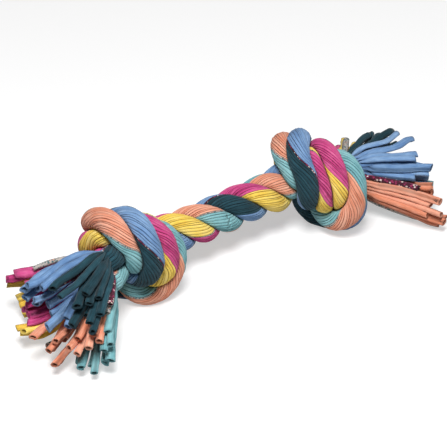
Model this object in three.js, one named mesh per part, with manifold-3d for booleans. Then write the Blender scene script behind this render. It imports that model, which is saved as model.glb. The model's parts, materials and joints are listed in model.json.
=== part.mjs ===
// Rope dog toy: three strands of jersey strips laid up right-handed, tied with an overhand knot at each end.
// Beyond each knot the strips' cut ends are loose and make a tassel.
// Millimetres. X runs along the toy, Z is up, and the toy lies on the plane Z = 0.
import * as THREE from 'three';
import Module from 'manifold-3d';

const { abs, atan2, cos, floor, max, min, PI, round, sign, sin, sqrt } = Math;

// Driving dimensions
const ropeDiameter = 31; // over the three strands
const middleLength = 108; // free rope between the two knots
const ropeLay = 65; // length of rope in one turn of the strands
const knotLay = 105; // the same inside a knot
const strandTwist = 85; // length of strand in which its two colours turn once, against the lay
const strandGap = 0.9; // between two strands that press on each other
const bundleGap = 0.4; // between the two colours of one strand
const jointGap = 0.3; // where one stretch of a bundle ends and the next begins
const floorCut = 2.5; // depth of the flats that the knots lie on
const rootLength = 9; // bundle end that the loose strips of a tassel grow from
const leftTasselLength = 70; // from the knot's mouth to the longest tip
const rightTasselLength = 54;
const leftTasselLean = 0.26; // how far it runs to the front, as a share of its length
const rightTasselLean = 0.26;
const tasselWidth = 200; // across the tips
const tasselHeight = 52; // over the tips, from the floor
const stripWidth = 7; // a jersey strip rolls up to a flat tube
const stripThickness = 4.2;

// Counts and ratios
const strandSides = 8;
const ringStep = 0.18; // between two rings of a strand, in rope diameters
const knotTake = 7.3; // rope that a tied knot takes up, in rope diameters
const knotReach = 0.98; // from a knot's centre to its mouth, in rope diameters
const tailReach = 0.08; // from that mouth to the tassel's root, in rope diameters
const knotRounds = 1000; // of drawing a knot tight
const strandRounds = 160; // of letting the strands find their places
const spareTail = 1.2; // rope past that root, cut off once the strands lie at rest
const ropeContact = 0.77; // between two passes of the rope that touch, in rope diameters
const strandOffset = 0.248; // a strand's centre from the rope's, in rope diameters
const strandContact = 0.36; // between two strands that touch, in rope diameters
const strandFull = 0.255; // a strand's free radius, in rope diameters
const knotForm = [0.6, 0.8, 1.1]; // a knot's length, breadth and height, pressed from its first form
// How a knot lies: turned about X, Y and Z in degrees. Its tail, on one side, is turned about Y and Z.
const leftKnot = { side: -1, roll: 325, pitch: 8, yaw: 24, tailPitch: 8, tailYaw: 24 };
const rightKnot = { side: 1, roll: 330, pitch: 0, yaw: -20, tailPitch: 8, tailYaw: 0 };
const stripSteps = 4;
const stripSeats = [
  [15, 0.68], [45, 0.7], [75, 0.72], [105, 0.72], [135, 0.7], [165, 0.68],
  [30, 0.36], [70, 0.34], [110, 0.34], [150, 0.36],
];
const stripRoot = 2.1; // a strip's thickness where the knot presses it
const printRoot = 2.4;
const rootTaper = 0.94; // size of the bundle's slice at its far side
const rootSink = 1.2; // how deep a strip starts in that slice, in millimetres
const clothPoints = 64; // round a strand, to seat a printed strip on it
const shortestStrip = 0.7; // as a share of the tassel's length
const fanPower = 1.1; // how late the strips spread
const tipArc = 0.22; // how much sooner the outer strips end
const strandPhase = 320; // turn of the strands at the middle of the toy, in degrees
const tailTurn = 72; // how much further the strands turn in the left tail, in degrees
const tailRun = 2; // length of rope or strand over which a tail turns further, in rope diameters

const strandRadius = strandFull * ropeDiameter;

// One strand holds two bundles of strips, each in its own colour. Split is where they part at the middle
// of the toy, and tailSpin is how much further they turn in the left tail, in degrees.
const strands = [
  { bundles: ['blue', 'teal'], split: 180, tailSpin: -230 },
  { bundles: ['coral', 'aqua'], split: 165, tailSpin: -180 },
  { bundles: ['yellow', 'magenta'], split: 150, tailSpin: -270 },
];
const colours = {
  yellow: 0xf2c230,
  magenta: 0xc8257f,
  coral: 0xee8f72,
  aqua: 0x6fb3b2,
  blue: 0x6f93c4,
  teal: 0x1f5568,
  print: 0xe6d3c3,
};

const wasm = await Module();
wasm.setup();

const degrees = (angle) => (angle * PI) / 180;
const mix = (a, b, u) => a + (b - a) * u;
const smooth = (u) => {
  const v = min(max(u, 0), 1);
  return v * v * (3 - 2 * v);
};

// Points spread evenly along a polyline
function resample(points, count) {
  const along = [0];
  for (let i = 1; i < points.length; i++) {
    along.push(along[i - 1] + points[i].distanceTo(points[i - 1]));
  }
  const result = [];
  let k = 1;
  for (let i = 0; i < count; i++) {
    const s = (along.at(-1) * i) / (count - 1);
    while (k < points.length - 1 && along[k] < s) {
      k++;
    }
    const u = (s - along[k - 1]) / (along[k] - along[k - 1]);
    result.push(points[k - 1].clone().lerp(points[k], u));
  }
  return result;
}

function lengthOf(points) {
  let total = 0;
  for (let i = 1; i < points.length; i++) {
    total += points[i].distanceTo(points[i - 1]);
  }
  return total;
}

// Unit tangents, with a normal that is carried along from one point both ways without twisting
function carryFrames(points, start, firstNormal) {
  const tangents = points.map((point, i) => {
    const before = points[max(i - 1, 0)];
    const after = points[min(i + 1, points.length - 1)];
    return after.clone().sub(before).normalize();
  });
  const normals = [];
  const across = (vector, tangent) => vector.clone().addScaledVector(tangent, -vector.dot(tangent)).normalize();
  normals[start] = across(firstNormal, tangents[start]);
  for (let i = start + 1; i < points.length; i++) {
    normals[i] = across(normals[i - 1], tangents[i]);
  }
  for (let i = start - 1; i >= 0; i--) {
    normals[i] = across(normals[i + 1], tangents[i]);
  }
  const binormals = normals.map((normal, i) => tangents[i].clone().cross(normal));
  return { tangents, normals, binormals };
}

// Let soft chains come to rest: links draw in to their length, bends even out, and passes that touch
// push each other apart. The first and last point of each chain stay where they are.
function settle(chains, { contact, linkEnd, rounds, smoothing, guide = Infinity }) {
  const count = chains[0].length;
  const points = chains.flat();
  const held = points.map((point, i) => i % count === 0 || i % count === count - 1);
  const linkStart = lengthOf(chains[0]) / (count - 1);
  const push = points.map(() => new THREE.Vector3());
  const step = new THREE.Vector3();
  for (let turn = 0; turn < rounds; turn++) {
    const link = mix(linkStart, linkEnd, min(1, turn / (0.7 * rounds)));
    const nearby = (1.4 * contact) / link;
    for (let i = 0; i < points.length; i++) {
      push[i].set(0, 0, 0);
      if (!held[i]) {
        push[i].addVectors(points[i - 1], points[i + 1]).multiplyScalar(0.5).sub(points[i]);
        push[i].multiplyScalar(smoothing);
      }
    }
    points.forEach((point, i) => point.add(push[i]));
    const touching = points.map(() => 0);
    push.forEach((vector) => vector.set(0, 0, 0));
    for (let i = 0; i < points.length; i++) {
      const last = (floor(i / count) + 1) * count;
      for (let j = i + 1; j < points.length; j++) {
        if (j < last && j - i < nearby) {
          continue;
        }
        const dx = points[i].x - points[j].x;
        const dy = points[i].y - points[j].y;
        const dz = points[i].z - points[j].z;
        const square = dx * dx + dy * dy + dz * dz;
        if (square >= contact * contact) {
          continue;
        }
        const apart = sqrt(square);
        step.set(dx, dy, dz).multiplyScalar((0.5 * (contact - apart)) / apart);
        push[i].add(step);
        push[j].sub(step);
        touching[i]++;
        touching[j]++;
      }
    }
    for (let i = 0; i < points.length; i++) {
      if (!held[i] && touching[i]) {
        points[i].addScaledVector(push[i], 1 / sqrt(touching[i]));
      }
    }
    drawLinks(points, count, held, link);
    for (const point of points.filter((each) => abs(each.x) > guide)) {
      point.y *= 0.5;
      point.z *= 0.5;
    }
  }
}

function drawLinks(points, count, held, link) {
  const step = new THREE.Vector3();
  for (let sweep = 0; sweep < 12; sweep++) {
    for (let i = sweep % 2; i < points.length - 1; i++) {
      if (i % count === count - 1 || (i % count) % 2 !== sweep % 2) {
        continue;
      }
      step.subVectors(points[i + 1], points[i]);
      const length = step.length();
      step.multiplyScalar((0.5 * (length - link)) / length);
      if (!held[i]) {
        points[i].add(step);
      }
      if (!held[i + 1]) {
        points[i + 1].sub(step);
      }
    }
  }
}

// A loose right-handed overhand loop on the X axis, in rope diameters, before it is pulled tight
function looseLoop() {
  const edge = 1.95;
  const lead = 2.8;
  const drop = 1.9;
  const size = 1.3;
  const loopSteps = 200;
  const leadSteps = 60;
  const loop = (t) => new THREE.Vector3(t ** 3 - 3 * t, t ** 4 - 4 * t * t, 0.5 * (t ** 5 - 10 * t));
  const points = [];
  for (let i = -loopSteps - leadSteps; i <= loopSteps + leadSteps; i++) {
    const t = (edge * min(max(i, -loopSteps), loopSteps)) / loopSteps;
    const past = (lead * max(abs(i) - loopSteps, 0)) / leadSteps;
    const point = loop(t);
    const keep = 1 - smooth(past / lead);
    point.set(point.x + sign(i) * past, point.y * keep, point.z * keep);
    point.y += drop * (1 - smooth((abs(point.x) - 2.2) / 2));
    points.push(point.multiplyScalar(size));
  }
  return points;
}

// The rope's axis through a tied knot, in rope diameters, with its two ends on the X axis
function tiedKnot() {
  const count = 90;
  const axis = resample(looseLoop(), count);
  const span = axis.at(-1).x - axis[0].x;
  const linkEnd = (span + knotTake) / (count - 1);
  const guide = knotReach + 0.4;
  settle([axis], { contact: ropeContact, linkEnd, rounds: knotRounds, smoothing: 0.15, guide });
  return axis;
}

// A knot as it lies, with its tail turned its own way and its lead eased back to the rope's axis
function placedKnot(knot, { side, roll, pitch, yaw, tailPitch, tailYaw }) {
  return knot.map((point) => {
    const swing = 1 - smooth((abs(point.x) - 1) / 1.2);
    const tail = point.x * side > 0 ? 1 - swing : 0;
    const placed = point.clone();
    placed.applyAxisAngle(new THREE.Vector3(1, 0, 0), degrees(roll));
    placed.applyAxisAngle(new THREE.Vector3(0, 1, 0), degrees(pitch * swing + tailPitch * tail));
    placed.applyAxisAngle(new THREE.Vector3(0, 0, 1), degrees(yaw * swing + tailYaw * tail));
    return placed.multiply(new THREE.Vector3(...knotForm));
  });
}

// Where a line through two points has a given x
function pointAt(x, inner, outer) {
  return inner.clone().lerp(outer, (x - inner.x) / (outer.x - inner.x));
}

// The whole rope's axis in rope diameters: left tail, left knot, middle, right knot, right tail
function ropeAxis() {
  const centre = middleLength / ropeDiameter / 2 + knotReach;
  const tail = knotReach + tailReach + spareTail;
  const part = (points, from, to, x) => {
    const first = points.findIndex((point) => point.x > from);
    const last = points.findLastIndex((point) => point.x < to);
    return points.slice(first, last + 1).map((point) => point.clone().add(new THREE.Vector3(x, 0, 0)));
  };
  const knot = tiedKnot();
  const left = part(placedKnot(knot, leftKnot), -tail, knotReach, -centre);
  const right = part(placedKnot(knot, rightKnot), -knotReach, tail, centre);
  const first = pointAt(-centre - tail, left[1], left[0]);
  const last = pointAt(centre + tail, right.at(-2), right.at(-1));
  const points = [first, ...left, ...right, last];
  return resample(points, round(lengthOf(points) / 0.1));
}

// Three strands laid round the axis. The lay runs out at the tails, where the strips part.
function layStrands(axis) {
  const start = axis.findIndex((point, i) => point.x < 0 && axis[i + 1].x >= 0);
  const { normals, binormals } = carryFrames(axis, start, new THREE.Vector3(0, 0, 1));
  const spacing = axis[1].distanceTo(axis[0]);
  const easing = 0.8;
  const turned = [0];
  for (let i = 1; i < axis.length; i++) {
    const toEnd = min(i, axis.length - 1 - i) * spacing;
    const inKnot = smooth((abs(i - start) * spacing - middleLength / ropeDiameter / 2) / easing);
    const rate = (2 * PI * ropeDiameter) / mix(ropeLay, knotLay, inKnot);
    turned.push(turned[i - 1] + rate * spacing * smooth((toEnd - spareTail) / easing));
  }
  const inTail = (i) => 1 - smooth((i * spacing - spareTail) / tailRun);
  const chains = strands.map((strand, k) => {
    const points = axis.map((point, i) => {
      const angle = degrees(strandPhase + 120 * k + tailTurn * inTail(i)) + turned[i] - turned[start];
      return point
        .clone()
        .addScaledVector(normals[i], strandOffset * cos(angle))
        .addScaledVector(binormals[i], strandOffset * sin(angle));
    });
    return points;
  });
  const count = round(lengthOf(chains[0]) / ringStep) + 1;
  const even = chains.map((points) => resample(points, count));
  const linkEnd = (0.985 * lengthOf(even[0])) / (count - 1);
  settle(even, { contact: strandContact, linkEnd, rounds: strandRounds, smoothing: 0.2 });
  return even;
}

// A strand between the two tassels' roots
function cutTails(chain) {
  const reach = middleLength / ropeDiameter / 2 + 2 * knotReach + tailReach;
  const first = chain.findIndex((point) => point.x > -reach);
  const last = chain.findLastIndex((point) => point.x < reach);
  const start = pointAt(-reach, chain[first], chain[first - 1]);
  const end = pointAt(reach, chain[last], chain[last + 1]);
  return [start, ...chain.slice(first + 1, last), end];
}

// Turn the rope about Y and lift it so that both knots lie on the floor, at real size
function layOnFloor(chains) {
  const points = chains.flat();
  points.forEach((point) => point.multiplyScalar(ropeDiameter));
  const lowest = (side) => {
    const knot = points.filter((point) => point.x * side > 0);
    return knot.reduce((a, b) => (a.z < b.z ? a : b));
  };
  const left = lowest(-1);
  const right = lowest(1);
  const tilt = atan2(right.z - left.z, right.x - left.x);
  points.forEach((point) => point.applyAxisAngle(new THREE.Vector3(0, 1, 0), tilt));
  const ground = min(lowest(-1).z, lowest(1).z) - strandRadius + floorCut;
  points.forEach((point) => {
    point.z -= ground;
  });
}

// A strand's axis in short steps, each with its place along the strand
function finePoints(chain, strand) {
  const steps = 4;
  const passes = [];
  for (let i = 0; i < chain.length - 1; i++) {
    for (let step = 0; step < steps; step++) {
      const point = chain[i].clone().lerp(chain[i + 1], step / steps);
      passes.push({ point, strand, place: i + step / steps });
    }
  }
  return passes;
}

// How far the cloth of a strand reaches from its axis: its free radius, less where another pass presses on it
function clothReach(centre, direction, rivals) {
  let reach = strandRadius;
  const apart = new THREE.Vector3();
  for (const rival of rivals) {
    apart.subVectors(centre, rival);
    const facing = strandGap - direction.dot(apart);
    if (facing > 0) {
      reach = min(reach, (apart.lengthSq() - strandGap * strandGap) / (2 * facing));
    }
  }
  return reach;
}

// Rings of cloth points round a strand's axis, with the line that parts its two colours at angle zero.
// The strand's two ends are cut square.
function strandRings(k) {
  const chain = chains[k];
  const middle = chain.findIndex((point) => point.x > 0);
  const { tangents, normals, binormals } = carryFrames(chain, middle, new THREE.Vector3(0, 0, 1));
  const link = lengthOf(chain) / (chain.length - 1);
  const nearby = (2.6 * strandRadius) / link;
  return chain.map((centre, i) => {
    const rivals = finePasses.filter((pass) => {
      const own = pass.strand === k && abs(pass.place - i) < nearby;
      return !own && pass.point.distanceTo(centre) < 3 * strandRadius;
    });
    const points = rivals.map((pass) => pass.point);
    const inTail = 1 - smooth((i * link) / (tailRun * ropeDiameter));
    const parting = degrees(strands[k].split + strands[k].tailSpin * inTail);
    const turn = parting - (2 * PI * (i - middle) * link) / strandTwist;
    const outer = [];
    const directions = [];
    for (let side = 0; side < strandSides; side++) {
      const angle = turn + (2 * PI * side) / strandSides;
      const direction = normals[i].clone().multiplyScalar(cos(angle)).addScaledVector(binormals[i], sin(angle));
      directions.push(direction);
      outer.push(centre.clone().addScaledVector(direction, clothReach(centre, direction, points)));
    }
    if (i > 0 && i < chain.length - 1) {
      return { centre, tangent: tangents[i], directions, outer };
    }
    outer.forEach((point) => point.setX(centre.x));
    return { centre, tangent: new THREE.Vector3(1, 0, 0), directions, outer };
  });
}

// The way across the parting line, towards one of the two colours
function towards(ring, half) {
  const parting = ring.directions[(half * strandSides) / 2];
  return ring.tangent.clone().cross(parting).normalize();
}

// The least distance between the cloth of two passes, measured on the rings' points
function leastGap() {
  const near = rope.flatMap((rings, k) => rings.map((ring, i) => ({ ring, k, i })));
  let least = Infinity;
  for (const a of near) {
    for (const b of near) {
      const own = a.k === b.k && abs(a.i - b.i) * ringStep < 3 * strandFull;
      if (own || a.ring.centre.distanceTo(b.ring.centre) > 3 * strandRadius) {
        continue;
      }
      for (const point of a.ring.outer) {
        least = min(least, ...b.ring.outer.map((other) => other.distanceTo(point)));
      }
    }
  }
  return least;
}

// One colour's half of a ring: the outer points, then the middle of the parting line
function halfRing(ring, half, shift, shrink = 1) {
  const sides = strandSides / 2;
  const points = [];
  for (let side = 0; side <= sides; side++) {
    points.push(ring.outer[(half * sides + side) % strandSides].clone());
  }
  points.push(ring.centre.clone());
  for (const [i, point] of points.entries()) {
    point.sub(ring.centre).multiplyScalar(shrink).add(ring.centre).add(shift);
    if (i === 0 || i >= sides) {
      point.addScaledVector(towards(ring, half), bundleGap / 2);
    }
  }
  return points;
}

// A closed skin over half rings. Both colours of a strand part along the same diagonals.
function skin(rings) {
  const size = rings[0].length;
  const middle = size - 1;
  const index = [];
  for (let i = 0; i < rings.length - 1; i++) {
    for (let side = 0; side < size; side++) {
      const a = i * size + side;
      const b = i * size + ((side + 1) % size);
      if (side === middle) {
        index.push(a, b, a + size, b, b + size, a + size);
      } else {
        index.push(a, b, b + size, a, b + size, a + size);
      }
    }
  }
  const last = (rings.length - 1) * size;
  for (let side = 0; side < middle - 1; side++) {
    index.push(middle, side + 1, side);
    index.push(last + middle, last + side, last + side + 1);
  }
  return { points: rings.flat(), index };
}

function solidOf({ points, index }) {
  const vertProperties = new Float32Array(points.flatMap((point) => point.toArray()));
  return new wasm.Manifold(new wasm.Mesh({ numProp: 3, vertProperties, triVerts: new Uint32Array(index) }));
}

function addMesh(name, colour, solid) {
  const { vertProperties, triVerts } = solid.getMesh();
  const geometry = new THREE.BufferGeometry();
  geometry.setAttribute('position', new THREE.BufferAttribute(vertProperties, 3));
  geometry.setIndex(new THREE.BufferAttribute(triVerts, 1));
  geometry.computeVertexNormals();
  const material = new THREE.MeshStandardMaterial({ color: colours[colour], roughness: 0.95, metalness: 0 });
  material.flatShading = true;
  const mesh = new THREE.Mesh(geometry, material);
  mesh.name = name;
  toy.add(mesh);
}

// The space below the floor, which the flats of the knots are cut by
function belowFloor() {
  const depth = 4 * ropeDiameter;
  const width = 40 * ropeDiameter;
  const corners = [];
  for (const z of [-depth, 0]) {
    for (const [x, y] of [[-1, -1], [1, -1], [1, 1], [-1, 1]]) {
      corners.push(new THREE.Vector3((x * width) / 2, (y * width) / 2, z));
    }
  }
  const index = [0, 2, 1, 0, 3, 2, 4, 5, 6, 4, 6, 7];
  for (let side = 0; side < 4; side++) {
    const next = (side + 1) % 4;
    index.push(side, next, next + 4, side, next + 4, side + 4);
  }
  return solidOf({ points: corners, index });
}

// One colour's bundle over a run of rings, drawn back at each end to leave the gap to the next stretch
function bundle(rings, half) {
  const last = rings.length - 1;
  const drawn = rings.map((ring, i) => {
    const back = i === 0 ? jointGap / 2 : i === last ? -jointGap / 2 : 0;
    return halfRing(ring, half, ring.tangent.clone().multiplyScalar(back));
  });
  return solidOf(skin(drawn));
}

// Left knot, middle and right knot of one strand, parted where the rope leaves a knot
function addStrand(k) {
  const rings = rope[k];
  const leftEnd = rings.findLastIndex((ring) => ring.centre.x < -middleLength / 2);
  const rightStart = rings.findIndex((ring) => ring.centre.x > middleLength / 2);
  const runs = {
    left_knot: rings.slice(0, leftEnd + 1),
    mid: rings.slice(leftEnd, rightStart + 1),
    right_knot: rings.slice(rightStart),
  };
  for (const [place, run] of Object.entries(runs)) {
    for (const [half, colour] of strands[k].bundles.entries()) {
      addMesh(`${place}_${colour}`, colour, bundle(run, half).subtract(below));
    }
  }
}

// A strip's way on from the bundle's slice: it fans out and sinks to the floor. Reach is a share of the tassel.
function stripPoint({ mouth, side, length, lean }, root, reach) {
  const spread = max(reach, 0);
  const up = (2 * (root.z - mouth.z)) / ropeDiameter;
  const tipY = mouth.y + ((root.y - mouth.y) * tasselWidth) / ropeDiameter;
  const tipZ = (tasselHeight * (up + 1)) / 2;
  const out = mix(rootLength - rootSink, length, reach);
  const y = mix(root.y, tipY, spread ** fanPower) - lean * out;
  return new THREE.Vector3(mouth.x + side * out, y, mix(root.z, tipZ, smooth(spread)));
}

// How far a strip reaches: strips near the tassel's edge end sooner, and no two are cut alike
function stripReach({ mouth, seed }, root, n) {
  const across = (2 * (root.y - mouth.y)) / ropeDiameter;
  return mix(shortestStrip, 1, scatter(seed + n)) * (1 - tipArc * across * across);
}

// A loose strip: four sides, pressed small at the root and full size at its cut end
function strip(tassel, root, reach, rootSize, lead = 0) {
  const places = lead ? [-lead] : [];
  for (let i = 0; i <= stripSteps; i++) {
    places.push((reach * i) / stripSteps);
  }
  const near = 0.01;
  const rings = places.map((u) => {
    const centre = stripPoint(tassel, root, u);
    const along = stripPoint(tassel, root, u + near).sub(stripPoint(tassel, root, u - near)).normalize();
    const wide = new THREE.Vector3(0, 0, 1).cross(along).normalize();
    const thick = along.clone().cross(wide);
    const grown = max(u, 0) ** fanPower;
    const a = mix(rootSize, stripWidth, grown) / 2;
    const b = mix(rootSize, stripThickness, grown) / 2;
    return [
      centre.clone().addScaledVector(wide, a),
      centre.clone().addScaledVector(thick, b),
      centre.clone().addScaledVector(wide, -a),
      centre.clone().addScaledVector(thick, -b),
    ];
  });
  const last = (rings.length - 1) * 4;
  const index = [0, 2, 1, 0, 3, 2, last, last + 1, last + 2, last, last + 2, last + 3];
  for (let start = 0; start < last; start += 4) {
    for (let corner = 0; corner < 4; corner++) {
      const a = start + corner;
      const b = start + ((corner + 1) % 4);
      index.push(a, b, b + 4, a, b + 4, a + 4);
    }
  }
  return solidOf({ points: rings.flat(), index });
}

// A repeatable scatter between 0 and 1
function scatter(n) {
  const value = sin(n * 12.9898) * 43758.5453;
  return value - floor(value);
}

// The cut ends of one colour: strips that grow from a slice of the bundle at the knot's mouth
function tasselBundle(tassel, k, half) {
  const ring = tassel.rings[k];
  const { side, lean } = tassel;
  const near = halfRing(ring, half, ring.tangent.clone().multiplyScalar((side * jointGap) / 2));
  const far = halfRing(ring, half, new THREE.Vector3(side, -lean, 0).multiplyScalar(rootLength), rootTaper);
  let solid = solidOf(skin(side > 0 ? [near, far] : [far, near]));
  const sides = strandSides / 2;
  const clear = stripRoot / 2 + bundleGap + jointGap;
  stripSeats.forEach(([angle, share], n) => {
    const place = half * sides + (angle / 180) * sides;
    const from = ring.outer[floor(place) % strandSides];
    const edge = from.clone().lerp(ring.outer[(floor(place) + 1) % strandSides], place % 1);
    const root = ring.centre.clone().lerp(edge, share);
    const apart = towards(ring, half).dot(root.clone().sub(ring.centre));
    root.addScaledVector(towards(ring, half), max(0, clear - apart));
    const reach = stripReach(tassel, root, 31 * k + 17 * half + n);
    solid = solid.add(strip(tassel, root, reach, stripRoot));
  });
  return solid;
}

// Thin printed strips leave the rope in the valleys between its strands, seated on the cloth
function printStrip(tassel, k) {
  const { mouth, rings } = tassel;
  const valley = rings[k].centre.clone().add(rings[(k + 1) % 3].centre).multiplyScalar(0.5).sub(mouth);
  valley.setX(0).normalize();
  const cloth = rings.flatMap((ring) => resample([...ring.outer, ring.outer[0]], clothPoints));
  const seat = (offset) => mouth.clone().addScaledVector(valley, offset);
  const room = (offset) => min(...cloth.map((point) => point.distanceTo(seat(offset)))) - printRoot / 2;
  let offset = ropeDiameter / 2;
  while (offset > 0 && room(offset) > jointGap) {
    offset -= jointGap / 4;
  }
  const root = seat(offset);
  const lead = (rootLength - rootSink - jointGap) / (tassel.length - rootLength);
  return strip(tassel, root, stripReach(tassel, root, 7 * k), printRoot, lead);
}

function addTassel(name, { side, length, lean, seed }) {
  const rings = rope.map((each) => each.at(side > 0 ? -1 : 0));
  const mouth = new THREE.Vector3();
  rings.forEach((ring) => mouth.addScaledVector(ring.centre, 1 / 3));
  const tassel = { rings, mouth, side, length, lean, seed };
  strands.forEach((strand, k) => {
    strand.bundles.forEach((colour, half) => {
      addMesh(`${name}_tassel_${colour}`, colour, tasselBundle(tassel, k, half));
    });
    addMesh(`${name}_tassel_print_${k + 1}`, 'print', printStrip(tassel, k));
  });
}

const toy = new THREE.Group();
toy.name = 'rope_dog_toy';
const chains = layStrands(ropeAxis()).map(cutTails);
layOnFloor(chains);
const finePasses = chains.flatMap((chain, strand) => finePoints(chain, strand));
const rope = strands.map((strand, k) => strandRings(k));
const below = belowFloor();
strands.forEach((strand, k) => addStrand(k));
addTassel('left', { side: -1, length: leftTasselLength, lean: leftTasselLean, seed: 1 });
addTassel('right', { side: 1, length: rightTasselLength, lean: rightTasselLean, seed: 5 });

console.log(`Least gap between two passes of the strands: ${leastGap().toFixed(2)} mm`);

// The origin lies on the floor under the middle of the toy's box
const box = new THREE.Box3().setFromObject(toy);
const centre = box.getCenter(new THREE.Vector3());
toy.position.set(-centre.x, -centre.y, 0);

export default toy;
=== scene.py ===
"""Looks of the rope dog toy: every strand is a bundle of jersey strips that run on into the tassels."""

import json

import bpy
import numpy as np
from mathutils import Matrix, Vector


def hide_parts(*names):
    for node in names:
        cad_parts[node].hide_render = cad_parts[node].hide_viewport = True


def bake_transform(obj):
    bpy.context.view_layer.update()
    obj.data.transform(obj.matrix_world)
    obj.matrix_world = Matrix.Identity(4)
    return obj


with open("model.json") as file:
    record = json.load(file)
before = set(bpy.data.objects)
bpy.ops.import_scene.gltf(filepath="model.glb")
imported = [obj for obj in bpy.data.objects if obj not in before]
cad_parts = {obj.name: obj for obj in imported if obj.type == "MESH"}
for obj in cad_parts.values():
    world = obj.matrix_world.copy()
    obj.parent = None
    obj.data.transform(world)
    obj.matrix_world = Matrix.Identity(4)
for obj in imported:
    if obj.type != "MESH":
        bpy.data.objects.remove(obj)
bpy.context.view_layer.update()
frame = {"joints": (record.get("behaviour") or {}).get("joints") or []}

HINGES = {joint["name"]: joint["pos_m"] for joint in frame["joints"]}
MILLIMETRES = 1000  # in a metre
TINY = 1e-6  # what is divided by is never less
EASING_ROUNDS = 2  # in which points or values are eased into their neighbours
rng = np.random.default_rng(11)


def mix(a, b, u):
    return a + (b - a) * u


def smooth(u):
    """A step from 0 to 1 that starts and ends gently."""
    v = np.clip(u, 0, 1)
    return v * v * (3 - 2 * v)


# The rope, as the solids have it, in millimetres
ROPE_DIAMETER = 31  # over the three strands
MIDDLE_LENGTH = 108  # free rope between the two knots
ROPE_LAY = 65  # length of rope in one turn of the strands
KNOT_LAY = 105  # the same inside a knot
STRAND_TWIST = 85  # length of strand in which its two colours turn once, against the lay
STRAND_RADIUS = 0.255 * ROPE_DIAMETER  # where nothing presses on it
FLOOR_CUT = 2.5  # depth of the flats that the knots lie on

# The knots and the strands' lines, as the solids have them, in rope diameters
KNOT_TAKE = 7.3  # rope that a tied knot takes up
KNOT_REACH = 0.98  # from a knot's centre to its mouth
TAIL_REACH = 0.08  # from that mouth to the tassel's root
SPARE_TAIL = 1.2  # rope past that root, cut off once the strands lie at rest
TAIL_RUN = 2  # length over which a tail turns further
ROPE_CONTACT = 0.77  # between two passes of the rope that touch
STRAND_OFFSET = 0.248  # a strand's centre from the rope's
STRAND_CONTACT = 0.36  # between two strands that touch
AXIS_STEP = 0.1  # between two points of the rope's axis
RING_STEP = 0.18  # between two rings of a strand
LAY_EASE = 0.8  # over which the lay changes
GUIDE_ROOM = 0.4  # past a knot's mouth, before its leads are held on the axis
SWING_START = 1  # from a knot's centre, where its turn begins to ease off
SWING_RUN = 1.2  # over which it eases off
# A knot's length, breadth and height, pressed from its first form
KNOT_FORM = (0.6, 0.8, 1.1)
# How a knot lies: its tail's side, its turns about X, Y and Z, and its tail's about Y and Z, in degrees
LEFT_KNOT = (-1, 325, 8, 24, 8, 24)
RIGHT_KNOT = (1, 330, 0, -20, 8, 0)
# The strands' turn at the middle of the toy, and how much further they turn in the left tail, in degrees
STRAND_PHASE = 320
TAIL_TURN = 72

# How the lines are drawn tight
KNOT_POINTS = 90
KNOT_ROUNDS = 1000
KNOT_SMOOTHING = 0.15
STRAND_ROUNDS = 160
STRAND_SMOOTHING = 0.2
STRAND_TAUT = 0.985  # share of its laid length that a strand is drawn to
LINK_SWEEPS = 12  # over the links, in every round
DRAWING_SHARE = 0.7  # of the rounds, in which the links draw in
GUIDE_PULL = 0.5  # share of its way off the axis that a held lead keeps, in every round
FINE_STEPS = 3  # from one ring of the solids to the next
# How many contact distances apart along itself a chain can touch itself
OWN_CONTACT = 1.4

# A strand's two colours, the angle at which they part at the middle of the toy, how much further they turn
# in the left tail, and how many strips each has
STRANDS = (
    (("blue", "teal"), 180, -230, (12, 11)),
    (("coral", "aqua"), 165, -180, (13, 10)),
    (("yellow", "magenta"), 150, -270, (12, 11)),
)
# The strand whose printed strips have a dark ground
DARK_PRINT = 0

# How far the cloth of a strand swells in the middle and in the knots, and the gaps it keeps, in millimetres
FREE_MIDDLE = 0.262 * ROPE_DIAMETER
FREE_KNOT = 0.285 * ROPE_DIAMETER
FREE_LEAD = 12  # before a knot, where the cloth begins to swell
FREE_RUN = 14  # over which it swells
CLOTH_GAP = 0.25
FLOOR_GAP = 0.3
DIRECTIONS = 72  # round a strand, in which the cloth's reach is worked out
# How far along itself a strand can't press on itself, and how far off others are felt, in strand radii
OWN_SPAN = 2.6
FELT_SPAN = 3.2
# How far a strand is flattened where it lies hard against another before the painted shade there is full,
# and how dark that painted shade is
CONTACT_DEPTH = 0.25
CONTACT_SHADE = 0.9

# The strips of a strand: widths beside each other, and how far edges wander, as a share of the least width
STRIP_WIDTHS = (0.7, 1.4)
PRINT_WIDTH = 0.6
EDGE_WANDER = 0.3
# The seams between them: the gap as an angle, the depth as a share of the cloth's reach, and how it changes
SEAM_GAP = 0.01
SEAM_DEPTHS = (0.03, 0.06, 0.1)
SEAM_CHANGE = 0.4
SEAM_POWER = 9
# How full and how crowned a strip is, as shares of the cloth's reach
STRIP_FULL = 0.985
STRIP_SWELL = 0.02
STRIP_CROWN = 0.02
# Over what length these change, in millimetres
EDGE_WAVE = 90
SEAM_WAVE = 60
SWELL_WAVE = 45
DRIFT_SHARES = (1, 0.61, 0.37)  # of that length, for the waves that add up to a drift

# A strip's ring: points from edge to edge of its outer face, then the depths of its sides and its back
OUTER_PLACES = np.array([-1, -0.93, -0.76, -0.4, 0, 0.4, 0.76, 0.93, 1])
INNER_DEPTHS = (0.7, 0.42, 0.42, 0.7)
RING_POINTS = len(OUTER_PLACES) + len(INNER_DEPTHS)
# How far a point of the ring lies from the middle of the outer face, for the weave
PRESSED_ACROSS = np.append(abs(OUTER_PLACES) * 1.6, [1.9, 2.6, 2.6, 1.9])
ROLLED_ACROSS = np.append(abs(np.arange(-4, 5)), [5, 6, 6, 5]) * 1.3
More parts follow.
